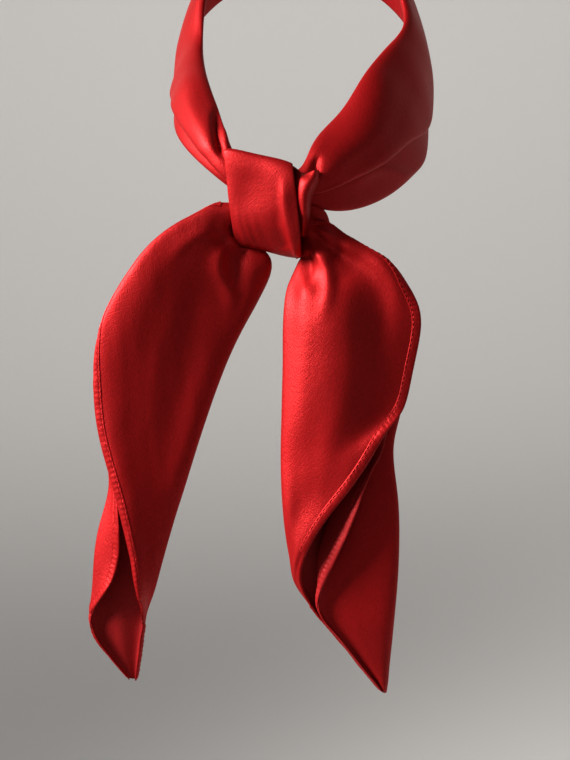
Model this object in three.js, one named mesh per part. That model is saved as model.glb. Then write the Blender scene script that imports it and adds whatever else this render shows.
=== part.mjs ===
// Square silk neckerchief, folded on the bias into a band, worn round the neck
// and tied in front: a neck band, the wrap of the knot, and two hanging tails.
//
// Millimetres, +Z up. The origin is the middle of the neck hollow, level with
// the middle of the band at its two sides; the front faces -Y.
//
// Every piece is a sheet: a table gives its fold lines row by row, a smooth
// curve through the points of a row is the folded cloth seen end on, and a
// smooth curve through the rows makes the surface, which gets an even wall.
import * as THREE from 'three';

// ---- driving dimensions (mm) -------------------------------------------------
const WALL = 1.0;             // wall of the folded cloth in the tails and band
const WRAP_WALL = 1.8;        // wall of the knot's wrap, two plies of band
const PLY_PITCH = 2.0;        // spacing of the band's plies, middle to middle
const BAND_CROWN = 2.0;       // how far the band's face bows outward
const WRAP_WIDTH = 30.0;      // wrap, edge to edge
const WRAP_HEIGHT = 42.5;     // wrap, top to bottom, middle of the wall
const WRAP_DEPTH = 31.0;      // wrap, front to back, middle of the wall
const WRAP_CENTRE = [-18.2, -88.0, -56.4];
const WRAP_LEAN = 6.0;        // degrees, the lower end to the wearer's left
const WRAP_DROP = 6.6;        // how much lower its right edge is than its left
const WRAP_TUCK = 0.10;       // how far the wrap's side edges close in

const BAND_STEPS = 2, TAIL_STEPS = 1;        // facets along a row gap
const BAND_SPANS = [3, 9, 9, 4];             // facets across, fold to fold
const LEFT_SPANS = [9, 11, 7], RIGHT_SPANS = [8, 11, 9, 6];
const WRAP_RINGS = 9, WRAP_POINTS = 30;

// ---- neck band ---------------------------------------------------------------
// One whole loop. A row is one place along it: u is the upper folded edge, l the
// lower one, turn the place across the width (0 upper, 1 lower) where the outer
// ply turns under, so that the next ply shows below it.
const BAND_COLUMNS = ['ux', 'uy', 'uz', 'lx', 'ly', 'lz', 'turn'];
const BAND_ROWS = [
  [-19.0, -89, -41.0, -19.0, -88, -54.0, 0.84],   // in the knot
  [-29.5, -88, -40.3, -30.0, -89, -51.5, 0.86],
  [-39.0, -82, -34.5, -40.5, -84, -49.5, 0.88],   // leaves the knot
  [-38.5, -66, -22.5, -49.0, -70, -40.0, 0.90],
  [-44.5, -46, -12.5, -58.0, -42, -33.0, 0.90],
  [-48.5, -24, 0.5, -62.5, -16, -27.0, 0.90],
  [-50.5, -5, 14.0, -64.5, 8, -15.0, 0.90],       // side of the neck
  [-49.5, 14, 34.0, -63.5, 28, 4.0, 0.90],
  [-41.0, 32, 57.0, -54.0, 48, 23.0, 0.92],
  [-23.0, 44, 75.0, -31.0, 62, 39.0, 0.92],
  [0.0, 48, 81.0, 0.0, 67, 45.0, 0.92],           // nape
  [23.0, 44, 75.0, 31.0, 62, 39.0, 0.92],
  [41.0, 32, 57.0, 54.0, 48, 22.0, 0.92],
  [49.5, 13, 33.0, 63.5, 28, 0.0, 0.90],
  [50.0, -3, 20.5, 64.5, 6, -24.0, 0.88],         // other side of the neck
  [42.6, -17, 12.0, 62.5, -16, -42.0, 0.80],
  [28.0, -42, -2.0, 54.5, -37, -50.0, 0.70],
  [16.8, -60, -17.5, 41.0, -60, -55.0, 0.64],
  [7.5, -75, -28.0, 24.0, -80, -57.5, 0.64],
  [2.0, -86, -38.0, 10.0, -88, -58.0, 0.68],
  [-5.0, -89, -44.0, -3.0, -89, -56.0, 0.75],     // into the knot
  [-12.0, -89, -42.5, -12.0, -88, -54.5, 0.82],
];

// ---- tails -------------------------------------------------------------------
// A row is one place down the tail. hem, fold, turn and flap are fold and hem
// lines of the cloth; crest, mid and back are the depths (y) of the layers
// between them, the r columns are the radii of the folds, and sag is how far the
// middle of a row hangs out from the straight line, away from the knot.
// Left tail: hem -> front layer -> fold -> back layer -> turn -> flap hem.
const LEFT_COLUMNS = ['hem_x', 'hem_y', 'hem_z', 'crest_y', 'mid_y',
  'fold_x', 'fold_y', 'fold_z', 'fold_r', 'back_y',
  'turn_x', 'turn_y', 'turn_z', 'turn_r', 'flap_x', 'flap_y', 'flap_z', 'sag'];
const LEFT_ROWS = [
  [-24.0, -91, -58.5, -92, -92, -23.0, -87, -70.0, 2.8, -82, -24.0, -85, -60.0, 2.0, -23.5, -87.2, -64.0, 0],
  [-32.5, -90, -56.0, -92, -92, -32.5, -86, -69.0, 3.0, -81, -32.5, -85, -58.0, 2.0, -33.0, -87.3, -62.0, 0.5],
  [-38.0, -90.5, -55.5, -93, -93, -33.5, -85.5, -75.0, 3.2, -80, -36.5, -85, -58.5, 2.1, -37.0, -87.6, -63.0, 3.5],
  [-43.0, -92, -57.0, -97, -96, -25.0, -84.5, -80.6, 3.4, -79, -41.0, -85.5, -61.0, 2.2, -40.5, -88.5, -66.0, 8],
  [-49.1, -94, -59.9, -102, -100, -17.6, -84, -84.4, 3.8, -78, -46.9, -87, -64.6, 2.4, -43.0, -90.5, -69.8, 10],
  [-63.7, -98, -67.5, -108, -105, -18.4, -86, -95.6, 4.4, -81, -61.5, -89, -73.4, 2.5, -56.0, -93.0, -78.6, 9],
  [-78.6, -102, -83.3, -112, -106, -26.8, -89, -111.1, 4.5, -84, -76.6, -92, -88.9, 2.6, -69.0, -96.0, -93.2, 6],
  [-91.6, -105, -105.5, -114, -107, -35.2, -92, -128.0, 4.5, -88, -90.2, -95, -110.6, 2.6, -82.5, -99.0, -112.9, 3],
  [-96.1, -108, -134.5, -116, -110, -42.9, -97, -147.3, 4.2, -93.5, -94.8, -99, -139.0, 2.6, -87.5, -102.5, -139.7, 0],
  [-93.5, -112, -160.8, -119, -113, -50.4, -102, -169.0, 4.0, -99, -93.3, -104, -164.0, 2.6, -88.2, -107.5, -163.6, 0],
  [-88.5, -116, -179.6, -121, -116, -56.0, -106, -186.3, 3.6, -103.5, -90.7, -108, -183.6, 2.6, -87.0, -111.0, -183.6, 0],
  [-83.9, -119, -198.5, -123, -119, -61.7, -110, -204.1, 3.2, -107.5, -95.4, -111, -202.2, 2.6, -86.0, -114.5, -200.7, 0],
  [-79.8, -121, -218.9, -124, -121, -67.5, -113, -223.5, 2.8, -111, -98.6, -114, -222.0, 2.5, -87.3, -117.3, -220.8, 0],
  [-77.6, -121.5, -232.8, -123.5, -121.5, -71.4, -114.5, -236.5, 2.6, -113, -99.7, -116, -235.3, 2.2, -93.3, -119.0, -233.5, 0],
];
// Below the place where the flap's hem has run out to the edge, both hems only
// curl round the fold and the edge.
const LEFT_END_COLUMNS = ['fold_x', 'fold_y', 'fold_z', 'fold_r', 'back_y',
  'turn_x', 'turn_y', 'turn_z', 'turn_r'];
const LEFT_END_ROWS = [
  [-74.7, -115.5, -246.3, 2.3, -114.2, -101.0, -117, -245.6, 1.8],
  [-76.2, -116, -255.9, 2.1, -115.0, -99.2, -118, -255.4, 1.6],
  [-77.8, -116.5, -266.6, 1.9, -115.6, -93.2, -118.0, -265.0, 1.4],
  [-79.7, -117, -277.6, 1.7, -115.9, -86.5, -117.5, -275.6, 1.2],
];
// Right tail: hem -> front layer -> left fold -> back layer -> right fold ->
// inner layer -> turn -> flap hem.
const RIGHT_COLUMNS = ['hem_x', 'hem_y', 'hem_z', 'crest_y', 'mid_y',
  'left_x', 'left_y', 'left_z', 'left_r', 'back_y',
  'fold_x', 'fold_y', 'fold_z', 'fold_r', 'inner_y',
  'turn_x', 'turn_y', 'turn_z', 'turn_r', 'flap_x', 'flap_y', 'flap_z', 'sag'];
const RIGHT_ROWS = [
  [-13.0, -92.0, -60.0, -93, -93, -13.0, -87, -73.5, 3.4, -81.0, -13.0, -83.5, -60.0, 1.7, -85.2, -13.0, -87, -65.5, 1.6, -13.0, -88.8, -62.0, 0],
  [-4.0, -92.0, -60.8, -93, -93, -4.0, -87, -73.2, 3.4, -81.0, -4.0, -83.5, -61.0, 1.7, -85.2, -4.0, -87, -66.5, 1.6, -4.0, -88.8, -63.0, 0],
  [2.6, -92.0, -62.0, -95, -95, 2.4, -86.5, -78.0, 3.5, -80.5, 2.4, -83.3, -62.5, 1.8, -85.2, 2.4, -87, -69.0, 1.7, 2.4, -89.2, -65.0, 2],
  [8.0, -92.5, -63.2, -98, -98, 0.6, -86.3, -84.6, 3.8, -80, 7.2, -83.5, -65.2, 2.0, -86.0, 5.5, -87.8, -73.5, 1.9, 6.8, -90.2, -68.5, 6],
  [12.8, -93.5, -65.6, -101, -101, -4.9, -86.5, -89.6, 4.2, -79.5, 11.4, -84, -69.0, 2.2, -87.2, 6.5, -89.2, -78.0, 2.1, 9.5, -91.8, -72.5, 8],
  [20.7, -96, -70.8, -106, -105, -8.4, -87.5, -94.6, 4.8, -80, 18.6, -85.5, -75.0, 2.4, -89.0, 8.5, -91.5, -84.5, 2.3, 14.5, -94.5, -78.8, 8],
  [32.7, -99, -77.0, -112, -108, -10.0, -89.5, -102.6, 5.0, -82, 30.4, -88, -81.9, 2.6, -92.0, 12.0, -94, -93.5, 2.5, 22.5, -97.5, -85.5, 6],
  [43.5, -101, -87.1, -115, -110, -10.7, -92, -114.2, 5.2, -85, 41.3, -91, -91.9, 2.7, -95.0, 15.5, -97, -105.0, 2.6, 31.5, -100.5, -96.0, 4],
  [50.9, -103, -101.3, -117, -112, -10.7, -95, -128.6, 5.4, -89, 48.2, -94, -105.7, 2.7, -98.0, 17.5, -100, -120.0, 2.6, 38.0, -103.5, -109.2, 1],
  [51.3, -105, -114.7, -118, -114, -11.1, -98, -143.1, 5.6, -93, 49.2, -97, -119.1, 2.7, -101.0, 18.0, -103, -134.8, 2.6, 39.9, -106.5, -122.8, 0],
  [48.3, -108, -129.8, -119, -116, -11.4, -102, -156.9, 5.8, -97, 47.1, -100, -134.9, 2.7, -104.0, 17.5, -106, -149.8, 2.6, 40.0, -109.5, -137.0, 0],
  [44.3, -112, -145.6, -120, -118, -11.6, -106, -171.1, 5.8, -101, 44.0, -103, -151.2, 2.7, -107.0, 16.0, -109, -164.9, 2.6, 37.5, -112.5, -152.5, 0],
  [36.2, -118, -159.3, -123, -121, -11.1, -110, -185.8, 5.8, -105, 40.8, -107, -166.4, 2.7, -111.0, 14.0, -113, -180.6, 2.6, 34.5, -115.5, -165.6, 0],
  [22.6, -122, -167.4, -125, -124, -10.0, -114, -198.5, 5.6, -108.5, 42.5, -111, -184.4, 2.7, -114.5, 11.0, -116.5, -193.3, 2.4, 29.1, -119.0, -175.3, 0],
  [11.9, -125, -184.4, -127, -126.5, -8.4, -117, -209.7, 5.2, -111.8, 43.8, -114, -201.5, 2.7, -117.3, 7.6, -119.5, -205.1, 2.1, 22.4, -122, -194.0, 0],
  [1.6, -126, -200.1, -127, -126, -6.8, -120, -217.9, 4.4, -115.3, 43.7, -117, -217.7, 2.6, -120, 5.2, -121.9, -214.7, 1.8, 15.7, -124.5, -209.9, 0],
  [-1.6, -125, -222.0, -125, -125, -5.1, -121, -226.0, 3.2, -117.5, 43.0, -119, -231.9, 2.5, -122, 5.8, -123.2, -226.0, 1.7, 10.4, -125.3, -221.8, 0],
];
const RIGHT_END_COLUMNS = ['left_x', 'left_y', 'left_z', 'left_r', 'back_y',
  'fold_x', 'fold_y', 'fold_z', 'fold_r', 'inner_y', 'turn_x', 'turn_y', 'turn_z', 'turn_r'];
const RIGHT_END_ROWS = [
  [0.9, -121.5, -235.6, 2.2, -119.0, 41.8, -121, -246.2, 2.4, -124, 7.4, -124.0, -237.0, 1.5],
  [13.5, -122, -252.4, 1.8, -120.0, 40.6, -122, -260.1, 2.2, -124.8, 18.2, -124.5, -252.6, 1.3],
  [25.4, -122, -268.4, 1.5, -120.6, 39.6, -122.5, -271.3, 2.0, -125, 29.2, -124.6, -267.8, 1.2],
  [32.6, -121.8, -279.4, 1.2, -120.8, 38.8, -122.8, -281.4, 1.8, -124.8, 35.0, -124.4, -278.9, 1.0],
];

// ---- curves and sheets --------------------------------------------------------
const V = (x, y, z) => new THREE.Vector3(x, y, z);
const named = (columns, rows) => rows.map((row) =>
  Object.fromEntries(columns.map((name, i) => [name, row[i]])));

// points along the curve through pts, closer together where it bends; folds are
// the indices of the fold tops, and spans the number of facets up to each of
// them and on to the end, so that a fold keeps its place from row to row
function spread(pts, folds, spans, pull = 4.0) {
  const curve = new THREE.CatmullRomCurve3(pts, false, 'centripetal');
  const stops = [0, ...folds, pts.length - 1];
  const out = [pts[0].clone()];
  spans.forEach((count, s) => {
    const from = stops[s] / (pts.length - 1), to = stops[s + 1] / (pts.length - 1);
    const fine = Array.from({ length: 161 }, (_, i) => curve.getPoint(from + (to - from) * i / 160));
    const sum = [0];
    for (let i = 1; i < fine.length; i++) {
      const a = V().subVectors(fine[i], fine[i - 1]);
      const b = V().subVectors(fine[Math.min(160, i + 1)], fine[Math.min(159, i)]);
      sum.push(sum[i - 1] + a.length() + pull * a.angleTo(b));
    }
    for (let k = 1, j = 0; k <= count; k++) {
      const want = sum[160] * k / count;
      while (j < 159 && sum[j + 1] < want) j++;
      const t = (want - sum[j]) / Math.max(1e-9, sum[j + 1] - sum[j]);
      out.push(V().lerpVectors(fine[j], fine[j + 1], Math.min(1, Math.max(0, t))));
    }
  });
  return out;
}

// rows of points -> more rows, on smooth curves through them
function between(rows, steps, closed = false) {
  const spans = closed ? rows.length : rows.length - 1;
  const total = spans * steps + (closed ? 0 : 1);
  const curves = rows[0].map((_, c) => new THREE.CatmullRomCurve3(
    rows.map((row) => row[c]), closed, 'catmullrom', 0.5));
  return Array.from({ length: total }, (_, i) =>
    curves.map((curve) => curve.getPoint(i / (spans * steps))));
}

// a grid of points with an even wall about it, as one closed body
function sheet(grid, wall, closedU = false, closedV = false) {
  const nu = grid.length, nv = grid[0].length;
  const at = (i, j) => grid[closedU ? (i + nu) % nu : Math.min(nu - 1, Math.max(0, i))][
    closedV ? (j + nv) % nv : Math.min(nv - 1, Math.max(0, j))];
  const position = [];
  for (const side of [0.5, -0.5]) {
    for (let i = 0; i < nu; i++) {
      for (let j = 0; j < nv; j++) {
        const du = V().subVectors(at(i + 1, j), at(i - 1, j));
        const dv = V().subVectors(at(i, j + 1), at(i, j - 1));
        const n = V().crossVectors(du, dv).normalize();
        const p = at(i, j).clone().addScaledVector(n, side * wall);
        position.push(p.x, p.y, p.z);
      }
    }
  }
  const id = (s, i, j) => s * nu * nv + ((i + nu) % nu) * nv + (j + nv) % nv;
  const index = [];
  const quad = (a, b, c, d) => index.push(a, b, c, a, c, d);
  for (let i = 0; i < (closedU ? nu : nu - 1); i++) {
    for (let j = 0; j < (closedV ? nv : nv - 1); j++) {
      quad(id(0, i, j), id(0, i + 1, j), id(0, i + 1, j + 1), id(0, i, j + 1));
      quad(id(1, i, j), id(1, i, j + 1), id(1, i + 1, j + 1), id(1, i + 1, j));
    }
  }
  if (!closedV) {
    for (let i = 0; i < (closedU ? nu : nu - 1); i++) {
      quad(id(0, i, 0), id(1, i, 0), id(1, i + 1, 0), id(0, i + 1, 0));
      quad(id(0, i, nv - 1), id(0, i + 1, nv - 1), id(1, i + 1, nv - 1), id(1, i, nv - 1));
    }
  }
  if (!closedU) {
    for (let j = 0; j < (closedV ? nv : nv - 1); j++) {
      quad(id(0, 0, j), id(0, 0, j + 1), id(1, 0, j + 1), id(1, 0, j));
      quad(id(0, nu - 1, j), id(1, nu - 1, j), id(1, nu - 1, j + 1), id(0, nu - 1, j + 1));
    }
  }
  // faces point out of the wall: turn them all over if the volume comes out negative
  let volume = 0;
  for (let k = 0; k < index.length; k += 3) {
    const [a, b, c] = [0, 1, 2].map((m) => V().fromArray(position, 3 * index[k + m]));
    volume += a.dot(b.cross(c));
  }
  if (volume < 0) {
    for (let k = 0; k < index.length; k += 3) {
      [index[k + 1], index[k + 2]] = [index[k + 2], index[k + 1]];
    }
  }
  const geometry = new THREE.BufferGeometry();
  geometry.setAttribute('position', new THREE.Float32BufferAttribute(position, 3));
  geometry.setIndex(index);
  geometry.computeVertexNormals();
  return geometry;
}

// the three points of a fold: in along the layer, round the apex, and back along
// the next layer; towards is a point of the layers, and first is +1 where the
// path comes in behind the fold, -1 where it comes in front
function foldPoints(apex, radius, towards, first) {
  const inward = V().subVectors(towards, apex).setY(0).normalize();
  const near = (s) => apex.clone().addScaledVector(inward, radius).add(V(0, s * radius, 0));
  return [near(first), apex, near(-first)];
}
// a point of a layer, t of the way from a to b, at depth y, hanging out by sag
const KNOT = V(...WRAP_CENTRE);
function inLayer(a, b, t, y, sag = 0) {
  const line = V().subVectors(b, a).setY(0).normalize();
  const out = V(line.z, 0, -line.x);
  const middle = V().lerpVectors(a, b, 0.5).sub(KNOT);
  if (out.dot(middle) < 0) out.negate();
  const p = V().lerpVectors(a, b, t).addScaledVector(out, sag * 4 * t * (1 - t));
  p.y = y;
  return p;
}

// ---- neck band ----------------------------------------------------------------
function neckBand() {
  const rows = named(BAND_COLUMNS, BAND_ROWS);
  const n = rows.length;
  const upper = rows.map((r) => V(r.ux, r.uy, r.uz));
  const lower = rows.map((r) => V(r.lx, r.ly, r.lz));
  const centre = rows.map((_, i) => V().lerpVectors(upper[i], lower[i], 0.5));
  const g = PLY_PITCH;
  const sections = rows.map((r, i) => {
    const along = V().subVectors(centre[(i + 1) % n], centre[(i + n - 1) % n]);
    const across = V().subVectors(lower[i], upper[i]);
    const width = across.length();
    const out = V().crossVectors(along, across).normalize();
    const e = 0.5 * g / width;                  // a small fold's radius
    const f = r.turn;
    const place = (w, d) => upper[i].clone().addScaledVector(across, w)
      .addScaledVector(out, d + BAND_CROWN * 4 * w * (1 - w));
    return spread([
      place(0.55 * f, 0.5 * g), place(f - e, 0.5 * g), place(f, 1.0 * g),
      place(f - e, 1.5 * g), place(0.5 * f, 1.5 * g), place(2.6 * e, 1.5 * g),
      place(0, 0), place(2.6 * e, -1.5 * g), place(0.5, -1.5 * g),
      place(1 - e, -1.5 * g), place(1, -1.0 * g), place(1 - e, -0.5 * g),
      place(0.55, -0.5 * g),
    ], [2, 6, 10], BAND_SPANS);
  });
  return sheet(between(sections, BAND_STEPS, true), WALL, true, false);
}

// ---- wrap of the knot ---------------------------------------------------------
function knotWrap() {
  const lean = THREE.MathUtils.degToRad(WRAP_LEAN);
  const grid = [];
  for (let i = 0; i < WRAP_RINGS; i++) {
    const u = -1 + 2 * i / (WRAP_RINGS - 1);               // -1 left edge, 1 right
    const close = 1 - WRAP_TUCK * Math.abs(u) ** 5 - 0.03 * u * u;
    const ring = [];
    for (let j = 0; j < WRAP_POINTS; j++) {
      const a = 2 * Math.PI * j / WRAP_POINTS;
      const bow = (v, k) => Math.sign(v) * Math.abs(v) ** k;
      const up = WRAP_HEIGHT / 2 * close * bow(Math.cos(a), 0.86);
      const front = WRAP_DEPTH / 2 * close * bow(Math.sin(a), 0.86);
      const side = WRAP_WIDTH / 2 * u * (1 + 0.05 * Math.sin(a));
      ring.push(V(
        WRAP_CENTRE[0] + side - up * Math.sin(lean),
        WRAP_CENTRE[1] - front,
        WRAP_CENTRE[2] + up * Math.cos(lean) - WRAP_DROP / 2 * u,
      ));
    }
    grid.push(ring);
  }
  return sheet(grid, WRAP_WALL, false, true);
}

// ---- tails --------------------------------------------------------------------
const point = (r, name) => V(r[name + '_x'], r[name + '_y'], r[name + '_z']);
// where a hem ends up that only curls round the fold at apex
function curl(apex, radius, towards) {
  const inward = V().subVectors(towards, apex).setY(0).normalize();
  return apex.clone().addScaledVector(inward, 0.5 * radius).add(V(0, -0.85 * radius, 0));
}

function leftTail() {
  const rows = [...named(LEFT_COLUMNS, LEFT_ROWS), ...named(LEFT_END_COLUMNS, LEFT_END_ROWS)];
  const sections = rows.map((r) => {
    const fold = point(r, 'fold'), turn = point(r, 'turn');
    const ends = r.hem_x === undefined;
    const hem = ends ? curl(fold, r.fold_r, turn) : point(r, 'hem');
    const flap = ends ? curl(turn, r.turn_r, fold) : point(r, 'flap');
    const sag = r.sag ?? 0;
    const front = hem.distanceTo(fold);
    const path = [hem];
    if (front > 3 * r.fold_r) path.push(inLayer(hem, fold, 0.17, r.crest_y, sag));
    if (front > 4.5 * r.fold_r) path.push(inLayer(hem, fold, 0.55, r.mid_y, sag));
    const foldEnds = foldPoints(fold, r.fold_r, front > 3 * r.fold_r
      ? inLayer(hem, fold, 0.8, 0, sag) : turn, -1);
    path.push(...foldEnds.slice(front > 1.8 * r.fold_r ? 0 : 1));
    const folds = [path.length - 2];
    path.push(inLayer(fold, turn, 0.5, r.back_y, sag));
    const turnEnds = foldPoints(turn, r.turn_r, inLayer(fold, turn, 0.8, 0, sag), 1);
    path.push(...turnEnds.slice(0, flap.distanceTo(turn) > 1.8 * r.turn_r ? 3 : 2), flap);
    folds.push(path.lastIndexOf(turn));
    return spread(path, folds, LEFT_SPANS);
  });
  return sheet(between(sections, TAIL_STEPS), WALL);
}

function rightTail() {
  const rows = [...named(RIGHT_COLUMNS, RIGHT_ROWS), ...named(RIGHT_END_COLUMNS, RIGHT_END_ROWS)];
  const sections = rows.map((r) => {
    const left = point(r, 'left'), fold = point(r, 'fold'), turn = point(r, 'turn');
    const ends = r.hem_x === undefined;
    const hem = ends ? curl(left, r.left_r, fold) : point(r, 'hem');
    const flap = ends ? curl(turn, r.turn_r, fold) : point(r, 'flap');
    const sag = r.sag ?? 0;
    const front = hem.distanceTo(left);
    const path = [hem];
    if (front > 3 * r.left_r) path.push(inLayer(hem, left, 0.22, r.crest_y, sag));
    if (front > 4.5 * r.left_r) path.push(inLayer(hem, left, 0.6, r.mid_y, sag));
    const leftEnds = foldPoints(left, r.left_r, front > 3 * r.left_r
      ? inLayer(hem, left, 0.8, 0, sag) : fold, -1);
    path.push(...leftEnds.slice(front > 1.8 * r.left_r ? 0 : 1));
    const folds = [path.length - 2];
    path.push(inLayer(left, fold, 0.5, r.back_y, sag));
    path.push(...foldPoints(fold, r.fold_r, inLayer(left, fold, 0.8, 0, sag), 1));
    folds.push(path.length - 2);
    path.push(inLayer(fold, turn, 0.5, r.inner_y, 0.6 * sag));
    const turnEnds = foldPoints(turn, r.turn_r, inLayer(fold, turn, 0.8, 0, 0.6 * sag), 1);
    path.push(...turnEnds.slice(0, flap.distanceTo(turn) > 1.8 * r.turn_r ? 3 : 2), flap);
    folds.push(path.lastIndexOf(turn));
    return spread(path, folds, RIGHT_SPANS);
  });
  return sheet(between(sections, TAIL_STEPS), WALL);
}

// ---- the object ----------------------------------------------------------------
const silk = (color) => new THREE.MeshStandardMaterial({
  color, roughness: 0.42, metalness: 0.0, side: THREE.DoubleSide,
});
const neckerchief = new THREE.Group();
for (const [name, geometry, color] of [
  ['neck_band', neckBand(), 0xb3121a],
  ['knot_wrap', knotWrap(), 0xbf161c],
  ['tail_left', leftTail(), 0xa80f17],
  ['tail_right', rightTail(), 0xb8141b],
]) {
  const mesh = new THREE.Mesh(geometry, silk(color));
  mesh.name = name;
  neckerchief.add(mesh);
}

export default neckerchief;
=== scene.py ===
# Square silk satin neckerchief, folded on the bias into a band, worn and tied in
# front. Tables are in millimetres, Blender objects in metres; +Z up, front to -Y.
import math

import bpy
import numpy as np
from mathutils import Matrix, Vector
from mathutils.bvhtree import BVHTree
from mathutils.kdtree import KDTree


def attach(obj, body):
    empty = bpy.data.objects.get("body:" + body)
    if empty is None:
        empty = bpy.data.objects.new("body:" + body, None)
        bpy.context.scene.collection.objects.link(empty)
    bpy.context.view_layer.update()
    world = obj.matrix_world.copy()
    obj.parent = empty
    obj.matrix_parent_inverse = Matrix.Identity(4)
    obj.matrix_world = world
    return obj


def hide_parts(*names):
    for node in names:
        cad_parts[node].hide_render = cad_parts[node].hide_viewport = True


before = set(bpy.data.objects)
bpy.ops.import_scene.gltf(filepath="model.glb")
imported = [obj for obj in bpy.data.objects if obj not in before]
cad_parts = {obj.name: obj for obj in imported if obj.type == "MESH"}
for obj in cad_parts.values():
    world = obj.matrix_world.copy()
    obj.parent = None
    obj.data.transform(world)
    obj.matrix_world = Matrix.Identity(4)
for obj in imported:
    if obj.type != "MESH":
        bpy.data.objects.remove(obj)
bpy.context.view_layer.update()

# ---- camera -----------------------------------------------------------------------
W, H = 570, 760
PITCH = math.radians(16.0)
CAMERA_AT = np.array([-9.3, -690.207, 33.408])
FOCAL = 1338.91                       # in picture widths of one pixel

camera = bpy.data.cameras.new("camera")
camera.sensor_width = 36.0
camera.lens = 36.0 * FOCAL / H
camera.clip_start = 0.02
camera.clip_end = 20.0
camera_object = bpy.data.objects.new("camera", camera)
bpy.context.scene.collection.objects.link(camera_object)
camera_object.location = Vector(CAMERA_AT / 1000.0)
camera_object.rotation_euler = (math.pi / 2 - PITCH, 0.0, 0.0)
bpy.context.scene.camera = camera_object

FORWARD = np.array([0.0, math.cos(PITCH), -math.sin(PITCH)])
UPWARD = np.array([0.0, math.sin(PITCH), math.cos(PITCH)])


def picture(P):
    """Where points in mm fall in the picture, used to lay out creases at build time."""
    d = np.asarray(P, float) - CAMERA_AT
    depth = d @ FORWARD
    return np.stack([W / 2 + FOCAL * d[..., 0] / depth,
                     H / 2 - FOCAL * (d @ UPWARD) / depth], -1)


def place(px, py, y):
    """The point in mm at depth y that falls at px, py in the picture."""
    a, b = (px - W / 2) / FOCAL, -(py - H / 2) / FOCAL
    ray = np.array([a, FORWARD[1] + b * UPWARD[1], FORWARD[2] + b * UPWARD[2]])
    t = (y - CAMERA_AT[1]) / ray[1]
    return CAMERA_AT + t * ray


# ---- fold tables, as in the model of the cloth ---------------------------------------
BAND_ROWS = [
    (-19.0, -89, -41.0, -19.0, -88, -54.0, 0.84),
    (-28.5, -89, -38.3, -30.0, -89, -51.5, 0.84),
    (-34.3, -84, -30.0, -40.0, -87, -45.0, 0.80),
    (-39.0, -68, -18.8, -50.5, -76, -37.4, 0.80),
    (-44.3, -50, -8.0, -60.0, -58, -29.2, 0.80),
    (-48.5, -26, 2.0, -63.6, -30, -21.5, 0.88),
    (-50.5, -5, 14.0, -64.5, 8, -15.0, 0.90),
    (-49.5, 14, 34.0, -63.5, 28, 4.0, 0.90),
    (-41.0, 32, 57.0, -54.0, 48, 23.0, 0.92),
    (-23.0, 44, 75.0, -31.0, 62, 39.0, 0.92),
    (0.0, 48, 81.0, 0.0, 67, 45.0, 0.92),
    (23.0, 44, 75.0, 31.0, 62, 39.0, 0.92),
    (41.0, 32, 57.0, 54.0, 48, 22.0, 0.92),
    (49.5, 13, 33.0, 63.5, 28, 0.0, 0.90),
    (50.0, -3, 20.5, 64.5, 6, -24.0, 0.88),
    (42.6, -17, 12.0, 62.5, -16, -42.0, 0.80),
    (28.0, -42, -2.0, 54.5, -37, -50.0, 0.70),
    (16.8, -58, -17.5, 41.5, -56, -57.0, 0.66),
    (7.2, -69, -26.4, 25.0, -75, -60.6, 0.66),
    (1.6, -82, -34.0, 10.5, -86, -59.6, 0.70),
    (-3.5, -89, -41.5, -2.0, -89, -56.5, 0.75),
    (-12.0, -89, -42.5, -12.0, -88, -54.5, 0.82),
]
LEFT_COLUMNS = ("hem_x hem_y hem_z crest_y mid_y fold_x fold_y fold_z fold_r back_y "
                "turn_x turn_y turn_z turn_r flap_x flap_y flap_z sag tuck").split()
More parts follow.
